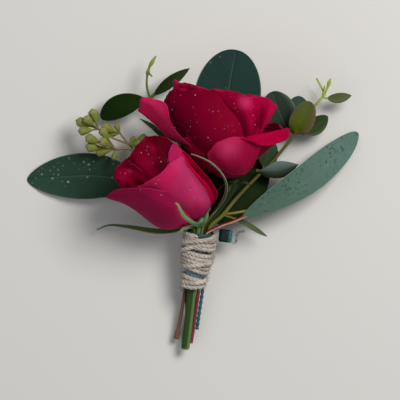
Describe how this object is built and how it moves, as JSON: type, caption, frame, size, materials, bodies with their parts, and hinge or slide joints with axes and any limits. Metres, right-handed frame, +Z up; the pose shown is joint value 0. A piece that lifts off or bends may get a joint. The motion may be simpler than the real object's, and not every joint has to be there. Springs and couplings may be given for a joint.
{
  "type": "buttonhole bouquet",
  "caption": "Small hand-tied bouquet of roses, eucalyptus leaves and budding sprigs, bound with jute twine over tape, lying flat on its back.",
  "frame": {"origin": "middle of the bounding box in plan, on the surface that the bouquet lies on", "axes": "+Z up out of the surface, towards the blooms' faces; +Y from the cut stems to the blooms; +X to the right, seen from above"},
  "size_m": [0.1661, 0.151, 0.0563],
  "materials": {
    "petal": "soft crimson petal",
    "rose_green": "smooth green stem and sepal",
    "leaf_grey": "matte grey-green leaf",
    "leaf_pale": "matte pale blue-green leaf",
    "leaf_green": "dark green leaf",
    "bud": "matte yellow-green bud",
    "twine": "rough jute twine",
    "tape": "crepe floral tape",
    "steel": "bright bent wire"
  },
  "bodies": {
    "root": {"rose_front_bloom": "petal", "rose_front_stem": "rose_green", "rose_back_bloom": "petal", "rose_back_stem": "rose_green", "leaf_left": "leaf_grey", "leaf_top": "leaf_grey", "leaf_right": "leaf_pale", "leaf_dark": "leaf_green", "leaf_slim": "leaf_green", "leaf_curl": "leaf_grey", "sprig_right": "leaf_grey", "sprig_left": "leaf_green", "bud_spray": "bud", "tape_sleeve": "tape", "twine_wrap": "twine", "taped_wire": "tape", "clasp_tape": "tape", "clasp_loop": "steel"}
  },
  "joints": []
}
